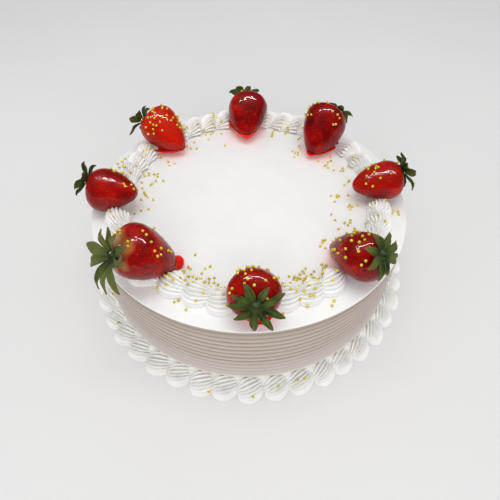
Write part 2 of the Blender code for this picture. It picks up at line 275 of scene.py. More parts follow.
def mixColours(tree, factor, first, second, blend="MIX"):
    node = tree.nodes.new("ShaderNodeMix")
    node.data_type = "RGBA"
    node.blend_type = blend
    sockets = {item.identifier: item for item in node.inputs}
    for key, value in (("Factor_Float", factor), ("A_Color", first), ("B_Color", second)):
        if isinstance(value, bpy.types.NodeSocket):
            tree.links.new(value, sockets[key])
        elif key == "Factor_Float":
            sockets[key].default_value = value
        else:
            sockets[key].default_value = (*value, 1.0)
    return next(item for item in node.outputs if item.identifier == "Result_Color")


def addBump(tree, shader, height, strength, distance):
    bump = tree.nodes.new("ShaderNodeBump")
    bump.inputs["Strength"].default_value = strength
    bump.inputs["Distance"].default_value = distance
    tree.links.new(height, bump.inputs["Height"])
    tree.links.new(bump.outputs["Normal"], shader.inputs["Normal"])


finishSockets = dict(roughness="Roughness", specular="Specular IOR Level", metallic="Metallic",
                     coat="Coat Weight", coatRoughness="Coat Roughness", coatIor="Coat IOR",
                     scatter="Subsurface Weight", scatterReach="Subsurface Radius",
                     scatterScale="Subsurface Scale")


def setFinish(tree, shader, tone, **values):
    # Links the colour, and sets what is the same all over a surface
    tree.links.new(tone, shader.inputs["Base Color"])
    for name, value in values.items():
        shader.inputs[finishSockets[name]].default_value = value


def mixByAttribute(tree, name, tone, colour, fromMin=0.0, fromMax=1.0, toMin=0.0, toMax=1.0):
    # Lays a colour over the tone where the piece's attribute says
    node = tree.nodes.new("ShaderNodeAttribute")
    node.attribute_name = name
    share = mapValue(tree, node.outputs["Fac"], fromMin, fromMax, toMin, toMax)
    return mixColours(tree, share, tone, colour)


def readVectors(items, name):
    values = np.empty(len(items) * 3)
    items.foreach_get(name, values)
    return values.reshape(-1, 3)


def writeAttribute(piece, name, values):
    # A number for each vertex, which the piece's material reads
    layer = piece.data.attributes.new(name, "FLOAT", "POINT")
    layer.data.foreach_set("value", values)


# The fold colour is painted shade, laid into the grooves of the piped shells
creamLook = dict(light=(0.96, 0.955, 0.94), warm=(0.94, 0.925, 0.89), fold=(0.50, 0.47, 0.41),
                 blush=(0.88, 0.50, 0.44), roughness=0.50)


def makeCream():
    # Whipped cream: nearly white, with painted shade darkening its folds, a faint grain and a blush where
    # jelly stained it
    material, tree, shader, coords = newMaterial("whippedCream")
    patches = noiseValue(tree, coords, 60.0, 3.0)
    tone = addRamp(tree, patches, [(0.35, creamLook["warm"]), (0.62, creamLook["light"])])
    tone = mixColours(tree, 0.35, creamLook["light"], tone)
    # Painted shade: the fold attribute darkens the shells' grooves
    tone = mixByAttribute(tree, "fold", tone, creamLook["fold"], 0.04, 1.0, 0.0, 0.9)
    tone = mixByAttribute(tree, "stain", tone, creamLook["blush"], toMax=0.02)
    grain = noiseValue(tree, coords, 1400.0, 6.0, 0.6)
    rough = creamLook["roughness"]
    tree.links.new(mapValue(tree, grain, 0.3, 0.7, rough - 0.06, rough + 0.1), shader.inputs["Roughness"])
    addBump(tree, shader, grain, 0.25, 0.00012)
    setFinish(tree, shader, tone, scatter=0.2, scatterReach=(1.0, 0.92, 0.8), scatterScale=0.001,
              specular=0.35)
    return material


# The side's tones are painted shade: the cream is white, but the side is darker as the light falls from
# above; top and topWarm are the cream's own white
sideLook = dict(crest=(0.56, 0.49, 0.445), groove=(0.31, 0.225, 0.165), high=(0.31, 0.225, 0.16),
                low=(0.66, 0.60, 0.565), foot=(0.93, 0.91, 0.82), top=(0.945, 0.945, 0.935),
                topWarm=(0.925, 0.92, 0.90))


def makeCakeCream():
    # The frosted body: white on top; the side carries painted shade, greyer and browner, darkest in the
    # comb grooves
    material, tree, shader, coords = newMaterial("combedCream")
    apart = tree.nodes.new("ShaderNodeSeparateXYZ")
    tree.links.new(coords, apart.inputs["Vector"])
    flat = tree.nodes.new("ShaderNodeCombineXYZ")
    tree.links.new(apart.outputs["X"], flat.inputs["X"])
    tree.links.new(apart.outputs["Y"], flat.inputs["Y"])
    reach = tree.nodes.new("ShaderNodeVectorMath")
    reach.operation = "LENGTH"
    tree.links.new(flat.outputs["Vector"], reach.inputs[0])
    # Painted shade: darker and browner in the comb grooves, lighter on the crests
    depth = mapValue(tree, reach.outputs["Value"], cake["radius"] - 0.0011, cake["radius"] - 0.0001)
    sideShade = addRamp(tree, depth, [(0.2, sideLook["groove"]), (0.9, sideLook["crest"])])
    # Painted shade: browner just under the top edge
    under = mapValue(tree, apart.outputs["Z"], cake["height"] - 0.014, cake["height"] - 0.003, 0.0, 0.4)
    sideShade = mixColours(tree, under, sideShade, sideLook["high"])
    # Painted bounced light: the side is lighter towards the bottom, above the foot shells
    below = mapValue(tree, apart.outputs["Z"], 0.034, 0.012, 0.0, 0.8)
    sideShade = mixColours(tree, below, sideShade, sideLook["low"])
    # Painted light: near the joint with the foot the side is nearly white, which lightens the shadow line
    # there
    joint = mapValue(tree, apart.outputs["Z"], 0.0135, 0.0105)
    sideShade = mixColours(tree, joint, sideShade, sideLook["foot"])
    # Only the top keeps the cream's white; below its edge the painted shade begins
    height = mapValue(tree, apart.outputs["Z"], cake["height"] - 0.0007, cake["height"] - 0.0003)
    mottle = noiseValue(tree, coords, 45.0, 3.0)
    topTone = addRamp(tree, mottle, [(0.3, sideLook["topWarm"]), (0.6, sideLook["top"])])
    tone = mixColours(tree, height, sideShade, topTone)
    tone = mixByAttribute(tree, "stain", tone, creamLook["blush"], toMax=0.05)
    stretched = tree.nodes.new("ShaderNodeMapping")
    stretched.inputs["Scale"].default_value = (120.0, 120.0, 900.0)
    tree.links.new(coords, stretched.inputs["Vector"])
    strokes = noiseValue(tree, stretched.outputs["Vector"], 1.0, 4.0)
    tree.links.new(mapValue(tree, strokes, 0.3, 0.7, 0.42, 0.56), shader.inputs["Roughness"])
    addBump(tree, shader, strokes, 0.3, 0.0002)
    setFinish(tree, shader, tone, scatter=0.1, scatterReach=(1.0, 0.85, 0.65), scatterScale=0.0015,
              specular=0.35)
    return material


# shade and pit are colours of painted shade: under the berry and in the seed pits
berryLook = dict(deep=(0.14, 0.0005, 0.0013), ripe=(0.33, 0.0011, 0.0012), bright=(0.66, 0.013, 0.002),
                 pale=(0.80, 0.42, 0.14), shade=(0.09, 0.0003, 0.0008), pit=(0.10, 0.001, 0.002))


def makeBerrySkin():
    # Ripe skin under a clear jelly coat; attributes carry how bright and pale it is, and painted shade
    # underneath and in the seed pits
    material, tree, shader, coords = newMaterial("glazedBerry")
    patches = noiseValue(tree, coords, 110.0, 4.0)
    tone = addRamp(tree, patches, [(0.36, berryLook["deep"]), (0.58, berryLook["ripe"]),
                                   (0.80, berryLook["bright"])])
    # Painted shade: shade darkens the underside and pit darkens the seed pits
    for name, most in (("bright", 1.0), ("pale", 1.0), ("shade", 0.5), ("pit", 0.35)):
        tone = mixByAttribute(tree, name, tone, berryLook[name], toMax=most)
    ripple = noiseValue(tree, coords, 190.0, 1.0)
    addBump(tree, shader, ripple, 0.12, 0.0006)
    setFinish(tree, shader, tone, roughness=0.45, specular=0.05, coat=0.72, coatRoughness=0.02,
              coatIor=1.36)
    return material


jellyLook = dict(deep=(0.82, 0.006, 0.001), thin=(0.96, 0.030, 0.003))


def makeJelly():
    # The glaze where it pools: bright, clear red
    material, tree, shader, coords = newMaterial("redJelly")
    depth = noiseValue(tree, coords, 150.0, 2.0)
    tone = addRamp(tree, depth, [(0.3, jellyLook["deep"]), (0.7, jellyLook["thin"])])
    setFinish(tree, shader, tone, roughness=0.3, specular=0.1, scatter=0.3,
              scatterReach=(1.0, 0.08, 0.03), scatterScale=0.003, coat=0.4, coatRoughness=0.02)
    ripple = noiseValue(tree, coords, 320.0, 1.0)
    addBump(tree, shader, ripple, 0.15, 0.0004)
    return material


seedLook = dict(dark=(0.08, 0.006, 0.003), straw=(0.36, 0.14, 0.02))


def makeSeedCoat():
    # Seeds from red brown to straw, under the same glaze
    material, tree, shader, coords = newMaterial("berrySeed")
    patches = noiseValue(tree, coords, 400.0, 2.0)
    tone = addRamp(tree, patches, [(0.45, seedLook["dark"]), (0.78, seedLook["straw"])])
    setFinish(tree, shader, tone, roughness=0.45, specular=0.15, coat=0.2, coatRoughness=0.05)
    return material


leafLook = dict(dark=(0.012, 0.028, 0.004), mid=(0.062, 0.100, 0.010), olive=(0.175, 0.190, 0.040),
                tip=(0.18, 0.11, 0.03), vein=(0.12, 0.16, 0.03))


def makeLeaf():
    # Sepals: dark green, lighter along the veins, painted shade darkening them near the hub, olive and
    # brown to the tips
    material, tree, shader, coords = newMaterial("sepalGreen")
    patches = noiseValue(tree, coords, 170.0, 4.0)
    tone = addRamp(tree, patches, [(0.35, leafLook["dark"]), (0.65, leafLook["mid"])])
    tone = mixByAttribute(tree, "across", tone, leafLook["vein"], 0.0, 0.16, 0.7, 0.0)
    tone = mixByAttribute(tree, "tint", tone, leafLook["olive"], 0.2, 1.0, 0.0, 0.8)
    # Painted shade: darker near the hub, where the leaves meet under the stem
    tone = mixByAttribute(tree, "far", tone, leafLook["dark"], 0.0, 0.4, 0.7, 0.0)
    tone = mixByAttribute(tree, "far", tone, leafLook["tip"], 0.68, 1.02, 0.0, 0.8)
    setFinish(tree, shader, tone, roughness=0.55, specular=0.2, scatter=0.1,
              scatterReach=(0.4, 1.0, 0.2), scatterScale=0.001)
    grain = noiseValue(tree, coords, 900.0, 4.0)
    addBump(tree, shader, grain, 0.35, 0.0003)
    return material


lustreLook = dict(dark=(0.56, 0.43, 0.005), light=(0.84, 0.68, 0.025))


def makePearl():
    # Sugar pearls with a gold lustre
    material, tree, shader, coords = newMaterial("goldPearl")
    patches = noiseValue(tree, coords, 230.0, 3.0)
    tone = addRamp(tree, patches, [(0.3, lustreLook["dark"]), (0.7, lustreLook["light"])])
    grain = noiseValue(tree, coords, 2600.0, 3.0)
    tree.links.new(mapValue(tree, grain, 0.3, 0.7, 0.28, 0.45), shader.inputs["Roughness"])
    addBump(tree, shader, grain, 0.3, 0.0001)
    setFinish(tree, shader, tone, metallic=0.1, coat=0.3, coatRoughness=0.15)
    return material


# The frosted body

bodyShape = dict(sides=256, ridges=14, ridgeDepth=0.0008, wobble=0.0005, topRings=26, edgeSteps=5,
                 edge=0.0008, footInset=0.0004)
# Across a ridge: place in pitches from its crest, share of the full depth
ridgeProfile = [(-0.40, 0.85), (-0.22, 0.35), (0.0, 0.0), (0.22, 0.35), (0.40, 0.85), (0.5, 1.0)]


def stainSpots():
    # Round spots under each strawberry's front half, where jelly has touched the cream
    spots = []
    for place in berryPlaces.values():
        angle = math.radians(place["angle"])
        tip = Vector((place["radius"] * math.cos(angle), place["radius"] * math.sin(angle), cake["height"]))
        axis = berryAxis(place)
        for share in (0.0, 0.25, 0.5):
            spots.append((tip + Vector((axis.x, axis.y, 0.0)) * place["length"] * share,
                          0.5 * place["width"] * (0.12 + 1.4 * share)))
    return spots


def stainValues(piece, reach):
    places = readVectors(piece.data.vertices, "co")
    near = np.full(len(places), 1.0)
    for spot, wide in stainSpots():
        near = np.minimum(near, np.linalg.norm(places - np.array(spot), axis=1) - wide)
    return np.clip(1.0 - np.maximum(near, 0.0) / reach, 0.0, 1.0) ** 2


def makeBody(material):
    clearSelection()
    radius, height, edge = cake["radius"], cake["height"], bodyShape["edge"]
    ridgeTop = height - cake["edgeRound"]
    pitch = ridgeTop / (bodyShape["ridges"] + 0.25)
    chance = random.Random(14)
    start = radius - bodyShape["footInset"]
    bpy.ops.mesh.primitive_circle_add(vertices=bodyShape["sides"], radius=start, location=(0, 0, 0))
    body = bpy.context.object
    body.name = "frostedBody"
    openWhole(body)
    levels = []
    for ridge in reversed(range(bodyShape["ridges"])):
        groove = ridgeTop - (ridge + 0.3) * pitch
        deep = bodyShape["ridgeDepth"] * chance.uniform(0.8, 1.1)
        crest = groove - 0.5 * pitch
        for share, sink in ridgeProfile:
            levels.append((crest + share * pitch, radius - deep * sink))
    levels = [level for level in levels if level[0] > 0.0006]
    levels.insert(0, (0.0005, radius - 0.0001))
    for step in range(bodyShape["edgeSteps"] + 1):
        turn = 0.5 * math.pi * step / bodyShape["edgeSteps"]
        levels.append((height - edge + edge * math.sin(turn), radius - edge + edge * math.cos(turn)))
    wide = pullRings(levels, 0.0, start)
    rings = [radius - edge - 0.0003]
    rings += [(radius - edge) * (1.0 - (ring + 1) / (bodyShape["topRings"] + 1))
              for ring in range(bodyShape["topRings"])]
    pullRings([(height, reach) for reach in rings], height, wide)
    bpy.ops.mesh.merge(type="CENTER")
    pickVerts(body, lambda co: co.z < 0.0001)
    bpy.ops.mesh.edge_face_add()
    bpy.ops.mesh.inset(thickness=0.012)
    pointOutwards()
    sideGroup = body.vertex_groups.new(name="side")
    topGroup = body.vertex_groups.new(name="top")
    for vert in body.data.vertices:
        low = clamped(vert.co.z / 0.008) * clamped((height - 0.0035 - vert.co.z) / 0.004)
        sideGroup.add([vert.index], low, "REPLACE")
        inner = clamped((radius - 0.004 - math.hypot(vert.co.x, vert.co.y)) / 0.010)
        topGroup.add([vert.index], inner if vert.co.z > height - 0.0001 else 0.0, "REPLACE")
    unevenness(body, "combWobble", 0.055, bodyShape["wobble"] * 2.0, "Z", "side")
    unevenness(body, "combDrag", 0.004, 0.00022, "NORMAL", "side")
    unevenness(body, "spatulaMarks", 0.035, 0.0004, "Z", "top")
    applyModifiers(body)
    writeAttribute(body, "stain", stainValues(body, 0.005))
    smoothShade(body, 60.0)
    dress(body, material, ["cake"])
    return body


# Piped shells

# Along the shell: place in mm, how full it is, heading in degrees
shellStations = [(-9.4, 0.14, -66), (-9.0, 0.40, -64), (-8.0, 0.64, -56), (-6.3, 0.86, -42),
                 (-3.9, 1.00, -24), (-1.2, 0.99, -9), (1.6, 0.87, 0), (4.2, 0.71, 4), (6.8, 0.55, 8),
                 (9.2, 0.40, 11), (11.5, 0.26, 14), (13.6, 0.14, 16), (14.6, 0.05, 16)]
middleStation = 5        # the one that sits on the ring


def shellPath(length, sweep):
    # Ring centres: a swept shell starts on the inner side and turns to run along +X
    spot, last, spots = Vector((0.0, 0.0, 0.0)), shellStations[0][0], []
    for along, full, heading in shellStations:
        turn = math.radians(heading * sweep)
        spot = spot + Vector((math.cos(turn), math.sin(turn), 0.0)) * (along - last) * 0.001 * length
        spots.append(spot)
        last = along
    along = shellStations[middleStation][0] * 0.001 * length
    middle = spots[middleStation] - Vector((along, 0.0, 0.0))
    return [spot - middle for spot in spots]


def pickEveryThird(piece, grooves):
    form = bmesh.from_edit_mesh(piece.data)
    for vert in form.verts:
        vert.select = (vert.index % 3 == 0) == grooves
    form.select_flush_mode()
    bmesh.update_edit_mesh(piece.data)


def makeShellPattern(name, look, seed):
    # One shell as it leaves a star nozzle, along +X, its foot on z = 0 and its inner side to +Y
    chance = random.Random(seed)
    width, height, length = look["width"], look["height"], look["length"]
    foot, sweep, lobes = look["foot"], look["sweep"], look["lobes"]
    clearSelection()
    bpy.ops.mesh.primitive_circle_add(vertices=lobes * 3, radius=1.0, location=(0, 0, 0),
                                      rotation=(0, math.pi / 2, 0))
    shell = bpy.context.object
    shell.name = name
    settle(shell)
    openMesh(shell)
    for grooves, size in ((True, look["groove"]), (False, look["crest"])):
        pickEveryThird(shell, grooves)
        resize((1.0, size, size))
    bpy.ops.mesh.select_all(action="SELECT")
    path = shellPath(length, sweep)
    full, heading = shellStations[0][1:]
    centre = path[0] + Vector((0.0, 0.0, foot * height))
    resize((1.0, 0.5 * width * full, (1.0 - foot) * height * full))
    bpy.ops.transform.translate(value=centre)
    bpy.ops.transform.rotate(value=-math.radians(heading * sweep), orient_axis="Z", center_override=centre)
    for spot, (nextAlong, nextFull, nextHeading) in zip(path[1:], shellStations[1:]):
        nextFull *= chance.uniform(0.97, 1.03)
        nextCentre = spot + Vector((0.0, 0.0, foot * height * min(1.0, 0.5 + nextFull)))
        scale = nextFull / full
        pullRing(nextCentre - centre, (scale, scale, scale), nextCentre)
        bpy.ops.transform.rotate(value=-math.radians((nextHeading - heading) * sweep), orient_axis="Z",
                                 center_override=nextCentre)
        centre, full, heading = nextCentre, nextFull, nextHeading
    bpy.ops.mesh.edge_face_add()
    form = bmesh.from_edit_mesh(shell.data)
    first = [vert.co.copy() for vert in form.verts if vert.index < lobes * 3]
    pickVerts(shell, lambda co: min((co - other).length for other in first) < 0.000001)
    bpy.ops.mesh.edge_face_add()
    pointOutwards()
    roundOff(shell, 1)
    unevenness(shell, name + "Uneven", 0.007 + 0.001 * (seed % 4), 0.0009)
    unevenness(shell, name + "Ragged", 0.0022, look["ragged"])
    applyModifiers(shell)
    cutBelow(shell, floorGap)
    return shell


def placeShell(pattern, ringRadius, angle, lift, yaw, grow):
    # A copy with its own mesh, turned to the ring and set down
    copy = ownCopy(pattern)
    turn = math.radians(angle)
    copy.scale = (grow, grow, grow)
    copy.rotation_euler = (0.0, 0.0, turn + math.pi / 2 + yaw)
    copy.location = (ringRadius * math.cos(turn), ringRadius * math.sin(turn), lift)
    return copy


def foldShading(piece):
    # How far each vertex lies below its neighbours, evened out over them, which sets the painted shade in
    # its fold
    mesh = piece.data
    places, normals = readVectors(mesh.vertices, "co"), readVectors(mesh.vertices, "normal")
    ends = np.empty(len(mesh.edges) * 2, dtype=np.int64)
    mesh.edges.foreach_get("vertices", ends)
    first, second = ends.reshape(-1, 2).T
    count = np.maximum(np.bincount(ends, minlength=len(places)), 1)
    lengths = np.linalg.norm(places[first] - places[second], axis=1)
    reach = np.bincount(ends, weights=np.repeat(lengths, 2), minlength=len(places)) / count

    def around(values):
        total = np.zeros(len(places))
        np.add.at(total, first, values[second])
        np.add.at(total, second, values[first])
        return total / count

    middle = np.stack([around(places[:, axis]) for axis in range(3)], axis=1)
    depths = np.clip(((middle - places) * normals).sum(axis=1) / np.maximum(reach, 1e-6) * 3.0, 0.0, 1.0)
    for step in range(2):
        depths = 0.5 * (depths + around(depths))
    # The flanks stand in full light, so the painted shade in their folds is made stronger
    return np.clip(depths * (2.5 - 1.9 * normals[:, 2]), 0.0, 1.0)


topShells = dict(width=0.0198, height=0.0121, length=1.02, foot=0.04, sweep=1.0, lobes=19, groove=0.67,
                 crest=1.02, ragged=0.0002, ringRadius=0.0922, pitch=0.0142, yaw=14.0)


# Shells outside a strawberry: angle, ring radius, yaw, size
outerShells = {"front_left": (229.0, 0.0985, 8.0, 0.80)}


def berryAxis(place):
    heading = math.radians(place["heading"])
    tilt = math.radians(place["tilt"])
    return Vector((math.cos(tilt) * math.cos(heading), math.cos(tilt) * math.sin(heading), math.sin(tilt)))


def runBounds(here, there):
    # The border between two strawberries starts and ends where their flanks leave room
    def middle(place):
        angle = math.radians(place["angle"])
        tip = Vector((place["radius"] * math.cos(angle), place["radius"] * math.sin(angle), 0.0))
        belly = tip + berryAxis(place) * (0.62 * place["length"])
        return math.atan2(belly.y, belly.x), 0.5 * place["width"] * 0.72 / topShells["ringRadius"]

    angle, half = middle(here)
    nextAngle, nextHalf = middle(there)
    while nextAngle < angle:
        nextAngle += math.tau
    return angle + half, nextAngle - nextHalf


def makeTopBorder(material):
    patterns = [makeShellPattern(f"nozzleShell{k}", topShells, k) for k in range(4)]
    lift = cake["height"] + cake["gap"]
    runs = []
    for here, there in zip(berryOrder, berryOrder[1:] + berryOrder[:1]):
        start, end = runBounds(berryPlaces[here], berryPlaces[there])
        count = max(2, round((end - start) * topShells["ringRadius"] / topShells["pitch"]))
        chance = random.Random(round(math.degrees(start)))
        shells = []
        for number in range(-1, count):
            angle = math.degrees(start + (number + 0.5) * (end - start) / count)
            pattern = patterns[chance.randrange(4)]
            yaw = math.radians(topShells["yaw"] + chance.uniform(-11.0, 11.0))
            grow = 0.84 if number < 0 else chance.uniform(0.92, 1.0)
            reach = topShells["ringRadius"] + chance.uniform(-0.0008, 0.0008)
            shells.append(placeShell(pattern, reach, angle, lift, yaw, grow))
        if here in outerShells:
            angle, reach, yaw, grow = outerShells[here]
            shells.append(placeShell(patterns[1], reach, angle, lift, math.radians(yaw), grow))
        run = joined("topShells_" + here, shells)
        settle(run)
        # Painted shade in the shells' folds
        writeAttribute(run, "fold", foldShading(run))
        writeAttribute(run, "stain", stainValues(run, 0.003))
        smoothShade(run, 70.0)
        dress(run, material, ["border_after_" + here])
        runs.append(run)
    for pattern in patterns:
        bpy.data.objects.remove(pattern, do_unlink=True)
    return runs


footShells = dict(width=0.0212, height=0.0119, length=1.2, foot=0.12, sweep=0.35, lobes=22, groove=0.62,
                  crest=1.03, ragged=0.0004, ringRadius=0.1135, count=43, yaw=27.0)
footBead = dict(radius=0.1120, thickness=0.0027, middle=0.0026, stretch=1.5)


def makeFootBead():
    # The low cream behind the shells, so that no gap shows between them
    clearSelection()
    bpy.ops.mesh.primitive_torus_add(major_radius=footBead["radius"], minor_radius=footBead["thickness"],
                                     major_segments=172, minor_segments=12,
                                     location=(0, 0, footBead["middle"]))
    bead = bpy.context.object
    settle(bead)
    openWhole(bead)
    resize((1.0, 1.0, footBead["stretch"]))
    closeMesh()
    unevenness(bead, "footBeadLumps", 0.006, 0.0012)
    applyModifiers(bead)
    cutBelow(bead, floorGap)
    return bead


def makeFootBorder(material):
    patterns = [makeShellPattern(f"footNozzle{k}", footShells, k + 4) for k in range(4)]
    chance = random.Random(43)
    shells = []
    for number in range(footShells["count"]):
        angle = -88.0 + 360.0 * (number + chance.uniform(-0.05, 0.05)) / footShells["count"]
        yaw = math.radians(footShells["yaw"] + chance.uniform(-4.0, 4.0))
        shells.append(placeShell(patterns[chance.randrange(4)], footShells["ringRadius"], angle, 0.0, yaw,
                                 chance.uniform(0.95, 1.0)))
    ring = joined("footShells", shells + [makeFootBead()])
    settle(ring)
    for vert in ring.data.vertices:
        vert.co.z = max(0.0, vert.co.z)
    # Painted shade in the shells' folds
    writeAttribute(ring, "fold", foldShading(ring))
    smoothShade(ring, 70.0)
    dress(ring, material, ["foot_border"])
    for pattern in patterns:
        bpy.data.objects.remove(pattern, do_unlink=True)
    return ring


# Strawberries

berryShape = dict(sides=20, tip=0.0003, seedGap=0.0034, pitDepth=0.00016, pitReach=0.0009)
# From the tip: share of the length, share of the half width
berryRings = [(0.0, 0.10), (0.025, 0.22), (0.08, 0.36), (0.17, 0.53), (0.29, 0.70), (0.42, 0.85),
              (0.56, 0.95), (0.70, 1.0), (0.81, 0.95), (0.90, 0.82), (0.96, 0.62), (0.985, 0.36)]


def outlineWidth(share):
    # The berry's half width at a share of its length from the tip, read between its rings
    for (first, wide), (second, nextWide) in zip(berryRings, berryRings[1:]):
        if share <= second:
            return wide + (nextWide - wide) * (share - first) / (second - first)
    return berryRings[-1][1]


def makeBerry(name, place, skin, brightness, paleness):
    chance = random.Random(round(place["angle"] * 10))
    phase = chance.uniform(0.0, math.tau)
    length, half = place["length"], 0.5 * place["width"]
    clearSelection()
    here, wide = berryShape["tip"], berryRings[0][1] * half
    bpy.ops.mesh.primitive_circle_add(vertices=berryShape["sides"], radius=wide, location=(0, 0, here))
    berry = bpy.context.object
    berry.name = "berry_" + name
    settle(berry)
    openWhole(berry)
    for share, size in berryRings[1:]:
        level, reach = share * length, size * half
        lean = 0.03 * math.sin(share * math.pi) * half
        pullRing((lean * math.cos(phase), lean * math.sin(phase), level - here),
                 (reach / wide, reach / wide, 1.0), (0, 0, level))
        here, wide = level, reach
    bpy.ops.mesh.edge_face_add()
    bpy.ops.mesh.inset(thickness=0.35 * wide)
    bpy.ops.transform.translate(value=(0, 0, -0.0012))
    pickVerts(berry, lambda co: co.z < berryShape["tip"] + 0.00005)
    bpy.ops.mesh.edge_face_add()
    pointOutwards()
    for vert in berry.data.vertices:
        turn = math.atan2(vert.co.y, vert.co.x)
        swell = 1.0 + 0.025 * (math.sin(2.0 * turn + phase) + 0.6 * math.sin(3.0 * turn - phase))
        vert.co.x *= swell
        vert.co.y *= swell
    roundOff(berry, 3)
    unevenness(berry, "lumps_" + name, 0.009 + 0.0007 * chance.random(), 0.0007)
    applyModifiers(berry)
    seeds = seedPlaces(berry, length, half, chance)
    pits = pitWeights(berry, seeds)
    group = berry.vertex_groups.new(name="pits")
    for index, weight in enumerate(pits):
        if weight > 0.0:
            group.add([index], weight, "REPLACE")
    dimple = berry.modifiers.new("Dimples", "DISPLACE")
    dimple.direction = "NORMAL"
    dimple.mid_level = 0.0
    dimple.strength = -berryShape["pitDepth"]
    dimple.vertex_group = "pits"
    applyModifiers(berry)
    side = chance.uniform(0.0, math.tau)
    brights, pales = [], []
    for vert in berry.data.vertices:
        share = vert.co.z / length
        turn = math.atan2(vert.co.y, vert.co.x)
        patch = 0.5 + 0.5 * math.sin(turn + side)
        brights.append(clamped(brightness * (0.35 + 0.65 * patch)))
        edge = clamped((share - 0.91 + 0.03 * math.sin(5.0 * turn)) / 0.08)
        pales.append(edge * paleness * (0.5 + 0.5 * patch))
    writeAttribute(berry, "bright", brights)
    writeAttribute(berry, "pale", pales)
    # Painted shade in the seed pits
    writeAttribute(berry, "pit", pits)
    lean = Euler((0.0, math.radians(90.0 - place["tilt"]), math.radians(place["heading"]))).to_matrix()
    low = min((lean @ vert.co).z for vert in berry.data.vertices)
    angle = math.radians(place["angle"])
    rest = Vector((place["radius"] * math.cos(angle), place["radius"] * math.sin(angle),
                   cake["height"] + cake["gap"] - low))
    laid = Matrix.Translation(rest) @ lean.to_4x4()
    berry.matrix_world = laid
    settle(berry)
    # Painted shade: darker underneath, in uneven bands
    shades = [0.45 - 0.9 * vert.normal.z + 0.2 * math.sin(vert.co.x * 300.0 + side)
              for vert in berry.data.vertices]
    writeAttribute(berry, "shade", [clamped(shade) for shade in shades])
    smoothShade(berry, 180.0)
    dress(berry, skin, ["strawberry_" + name])
    return berry, [laid @ seed for seed in seeds], laid


def seedPlaces(berry, length, half, chance):
    # A spiral of seeds down the flank, each set on the skin and pointing along it
    places = []
    shares = [k / 200.0 for k in range(6, 189)]
    weights = [outlineWidth(share) for share in shares]
    total = sum(weights) * (length / 200.0) * math.tau * half
    count = round(total / (berryShape["seedGap"] ** 2 * 0.87))
    running = 0.0
    step = sum(weights) / count
    number = 0
    for share, weight in zip(shares, weights):
        running += weight
        while running >= (number + 0.5) * step and number < count:
            turn = number * 2.39996 + chance.uniform(-0.12, 0.12)
            reach = outlineWidth(share) * half
            guess = Vector((reach * math.cos(turn), reach * math.sin(turn), share * length))
            found, spot, normal, face = berry.closest_point_on_mesh(guess)
            along = Vector((0, 0, 1)) - normal * normal.z
            along.normalize()
            across = normal.cross(along)
            turnMatrix = Matrix((along, across, normal)).transposed()
            sunk = spot - normal * berryShape["pitDepth"] * 0.75
            places.append(Matrix.Translation(sunk) @ turnMatrix.to_4x4())
            number += 1
    return places


def pitWeights(berry, seeds):
    tree = KDTree(len(seeds))
    for number, seed in enumerate(seeds):
        tree.insert(seed.translation, number)
    tree.balance()
    weights = []
    for vert in berry.data.vertices:
        far = tree.find(vert.co)[2]
        weights.append(max(0.0, 1.0 - (far / berryShape["pitReach"]) ** 2) ** 1.5)
    return weights


berryTones = {
    "front": (0.25, 0.0), "front_right": (0.15, 0.0), "right": (0.75, 0.0), "back_right": (0.0, 0.0),
    "back": (0.05, 0.0), "back_left": (0.85, 0.0), "left": (0.15, 0.1), "front_left": (0.35, 0.95),
}
seedShape = dict(radius=0.00036, long=1.35, wide=0.85, thick=0.45)


def makeBerries(skin, seedCoat):
    berries, laid, seeds = {}, {}, []
    for name in berryOrder:
        brightness, paleness = berryTones[name]
        berries[name], ownSeeds, laid[name] = makeBerry(name, berryPlaces[name], skin, brightness, paleness)
        seeds += ownSeeds
    clearSelection()
    bpy.ops.mesh.primitive_ico_sphere_add(subdivisions=2, radius=seedShape["radius"])
    seed = bpy.context.object
    openWhole(seed)
    resize((seedShape["long"], seedShape["wide"], seedShape["thick"]))
    pickVerts(seed, lambda co: co.x < -0.6 * seedShape["radius"])
    resize((1.0, 0.5, 0.6))
    closeMesh()
    allSeeds = scatterCopies("berrySeeds", seed, seeds)
    smoothShade(allSeeds, 80.0)
    dress(allSeeds, seedCoat)
    return berries, laid


# Leaves

# The tint says how olive the leaves are, from and to
calyxStyles = {
    "front": dict(leaves=9, length=0.0130, lift=0.14, breadth=0.9, droop=0.10, tint=(0.0, 0.35)),
    "front_right": dict(leaves=8, length=0.0125, lift=0.30, breadth=1.15, droop=0.12, tint=(0.0, 0.7)),
    "right": dict(leaves=7, length=0.0125, lift=0.45, breadth=1.15, droop=0.12, tint=(0.0, 0.7)),
    "back_right": dict(leaves=7, length=0.0120, lift=0.35, breadth=1.15, droop=0.12, tint=(0.0, 0.7)),
    "back": dict(leaves=7, length=0.0115, lift=0.60, breadth=1.15, droop=0.12, tint=(0.0, 0.7)),
    "back_left": dict(leaves=7, length=0.0120, lift=0.50, breadth=1.15, droop=0.12, tint=(0.0, 0.7)),
    "left": dict(leaves=7, length=0.0125, lift=0.40, breadth=1.15, droop=0.12, tint=(0.0, 0.7)),
    "front_left": dict(leaves=10, length=0.0185, lift=0.62, breadth=1.2, droop=0.26, tint=(0.3, 1.0)),
}
leafShape = dict(hub=0.0026, standOff=0.0007, width=0.0050, curl=0.022, wave=0.0009, thickness=0.0005)
# Rows of the flat leaf: how far along, how wide, with small teeth towards the tip
leafRows = [(0.0, 0.42), (0.12, 0.62), (0.26, 0.88), (0.42, 1.04), (0.56, 1.0), (0.66, 0.88), (0.70, 0.76),
            (0.80, 0.66), (0.84, 0.50), (0.93, 0.34), (1.0, 0.04)]


